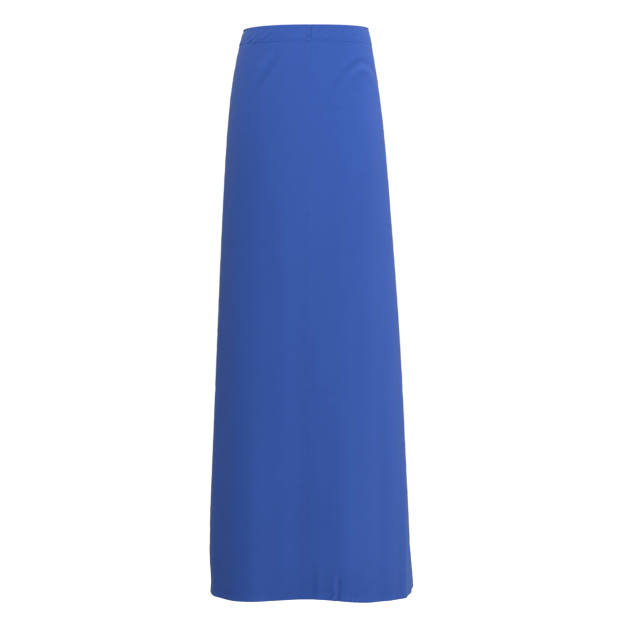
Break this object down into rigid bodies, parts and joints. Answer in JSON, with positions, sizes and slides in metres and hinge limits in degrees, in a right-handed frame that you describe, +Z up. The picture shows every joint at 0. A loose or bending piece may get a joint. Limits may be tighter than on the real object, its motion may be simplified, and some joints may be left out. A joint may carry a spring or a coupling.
{
  "type": "waist apron",
  "caption": "Long plain blue work apron for the waist: one hemmed cloth panel on a folded waistband, tied behind in a bow with hanging loops and tails.",
  "frame": {"origin": "middle of the waist ring, level with the waistband's top edge", "axes": "+Z up along the body, the front of the apron faces -Y, +X to the right of someone looking at the front"},
  "size_m": [0.3716, 0.2709, 1.0096],
  "materials": {
    "cloth_blue": "royal blue woven twill, matt with a slight sheen",
    "sewing_thread": "blue sewing thread, a little glossier than the cloth",
    "label_tape": "white satin tape, blank"
  },
  "bodies": {
    "waist": {"waistband_left": "cloth_blue", "waistband_right": "cloth_blue", "waistband_stitching": "sewing_thread", "bartack_left": "sewing_thread", "bartack_right": "sewing_thread", "care_label": "label_tape", "tie_left_run": "cloth_blue", "tie_right_run": "cloth_blue", "bow_knot": "cloth_blue"},
    "skirt": {"skirt_panel": "cloth_blue", "side_hem_stitching_left": "sewing_thread", "side_hem_stitching_right": "sewing_thread", "bottom_hem_stitching": "sewing_thread"},
    "loop_left": {"bow_loop_left": "cloth_blue"},
    "loop_right": {"bow_loop_right": "cloth_blue"},
    "tail_left": {"tie_tail_left": "cloth_blue", "tail_stitching_left": "sewing_thread"},
    "tail_right": {"tie_tail_right": "cloth_blue", "tail_stitching_right": "sewing_thread"}
  },
  "joints": [
    {"name": "skirt_swing", "type": "hinge", "parent": "waist", "child": "skirt", "pos_m": [0, 0, -0.03], "axis": [-1, 0, 0], "range_deg": [0, 20], "deforming": ["skirt_panel"]},
    {"name": "loop_left_lift", "type": "hinge", "parent": "waist", "child": "loop_left", "pos_m": [-0.0244, 0.1108, -0.0141], "axis": [0, 1, 0], "range_deg": [0, 60]},
    {"name": "loop_right_lift", "type": "hinge", "parent": "waist", "child": "loop_right", "pos_m": [0.0122, 0.1108, -0.0141], "axis": [0, -1, 0], "range_deg": [0, 60]},
    {"name": "tail_left_swing", "type": "hinge", "parent": "waist", "child": "tail_left", "pos_m": [-0.0061, 0.1078, -0.0302], "axis": [1, 0, 0], "range_deg": [0, 75]},
    {"name": "tail_right_swing", "type": "hinge", "parent": "waist", "child": "tail_right", "pos_m": [-0.0061, 0.1078, -0.0302], "axis": [1, 0, 0], "range_deg": [0, 75]}
  ]
}
